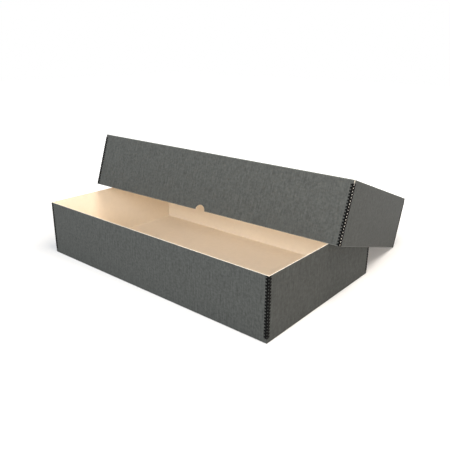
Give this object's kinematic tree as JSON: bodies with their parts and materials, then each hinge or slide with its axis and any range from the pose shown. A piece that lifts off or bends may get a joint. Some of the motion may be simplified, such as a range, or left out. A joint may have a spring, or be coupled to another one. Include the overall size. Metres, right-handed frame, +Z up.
{
  "type": "archive box",
  "caption": "Large flat archive box for papers and keepsakes: folded board base with metal corner stays, and a full-depth lid leaning open on it.",
  "frame": {"origin": "centre of the base's underside, on the table", "axes": "+Z up, +X along the base's length to the right, +Y from the front of the base to the back, where the lid leans"},
  "size_m": [0.8339, 0.7361, 0.3224],
  "materials": {
    "tan_board": "smooth uncoated tan board, paler raw edges",
    "grey_facing": "mottled dark grey fibrous facing paper with a faint sheen",
    "black_stay": "black enamelled steel strip, satin"
  },
  "bodies": {
    "base": {"base_board": "tan_board", "base_facing": "grey_facing", "base_stay_front_left": "black_stay", "base_stay_rear_left": "black_stay", "base_stay_front_right": "black_stay", "base_stay_rear_right": "black_stay"},
    "lid": {"lid_board": "tan_board", "lid_facing": "grey_facing", "lid_stay_rear_left": "black_stay", "lid_stay_front_left": "black_stay", "lid_stay_rear_right": "black_stay", "lid_stay_front_right": "black_stay"}
  },
  "joints": [
    {"name": "lid_lift", "type": "slide", "parent": "base", "child": "lid", "axis": [0, 0, 1], "range_m": [0, 0.2]}
  ]
}
